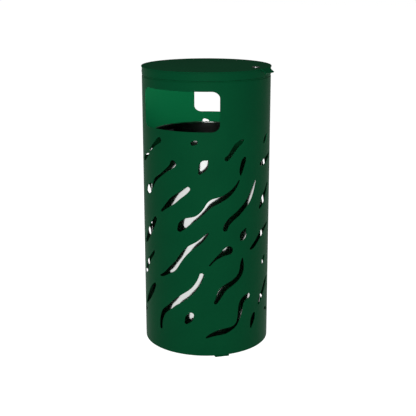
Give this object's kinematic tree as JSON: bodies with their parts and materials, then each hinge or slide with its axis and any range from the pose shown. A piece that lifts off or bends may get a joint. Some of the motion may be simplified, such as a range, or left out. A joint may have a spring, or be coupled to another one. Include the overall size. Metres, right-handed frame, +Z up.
{
  "type": "litter bin",
  "caption": "Round steel litter bin with a cut-out shell, front and rear mouths, a hinged locking lid and a lift-out liner with drop handles.",
  "frame": {"origin": "centre of the bin on the ground, level with the underside of its feet", "axes": "+Z up, front mouth towards -Y, lid hinge on the -X side, lock and finger tab on the +X side"},
  "size_m": [0.3903, 0.358, 0.7921],
  "materials": {
    "green_paint": "satin dark green powder coat",
    "painted_rivet": "satin dark green over rivets",
    "zinc_steel": "zinc plated",
    "bright_steel": "bright polished sheet",
    "chrome": "bright",
    "black_steel": "black electrocoat",
    "rubber": "matte"
  },
  "bodies": {
    "housing": {"front_shell": "green_paint", "back_shell": "green_paint", "base_pan": "zinc_steel", "feet": "zinc_steel", "foot_rivets": "zinc_steel", "liner_seats": "rubber", "top_ring": "green_paint", "lid_buffers": "rubber", "hinge_bracket": "green_paint", "bracket_rivets": "painted_rivet", "hinge_pin": "zinc_steel", "pin_clips": "zinc_steel"},
    "lid": {"lid_plate": "green_paint", "lid_skirt": "green_paint", "hinge_leaf": "green_paint", "leaf_rivets": "painted_rivet", "lock_ring": "rubber", "lock_housing": "chrome", "lock_nut": "zinc_steel"},
    "lock": {"lock_plug": "chrome", "lock_cam": "zinc_steel", "cam_screw": "zinc_steel"},
    "liner": {"liner_wall": "bright_steel", "liner_floor": "bright_steel", "liner_rim": "bright_steel", "handle_lugs": "black_steel", "lug_rivets": "black_steel"},
    "left_handle": {"left_handle": "black_steel"},
    "right_handle": {"right_handle": "black_steel"}
  },
  "joints": [
    {"name": "lid_hinge", "type": "hinge", "parent": "housing", "child": "lid", "pos_m": [-0.187, 0, 0.766], "axis": [0, -1, 0], "range_deg": [0, 105]},
    {"name": "lock_turn", "type": "hinge", "parent": "lid", "child": "lock", "pos_m": [0.15, 0, 0.7755], "axis": [0, 0, 1], "range_deg": [0, 90]},
    {"name": "liner_lift", "type": "slide", "parent": "housing", "child": "liner", "axis": [0, 0, 1], "range_m": [0, 0.12]},
    {"name": "left_handle_drop", "type": "hinge", "parent": "liner", "child": "left_handle", "pos_m": [-0.14, 0, 0.578], "axis": [0, -1, 0], "range_deg": [-6, 170]},
    {"name": "right_handle_drop", "type": "hinge", "parent": "liner", "child": "right_handle", "pos_m": [0.14, 0, 0.578], "axis": [0, 1, 0], "range_deg": [-6, 170]}
  ]
}
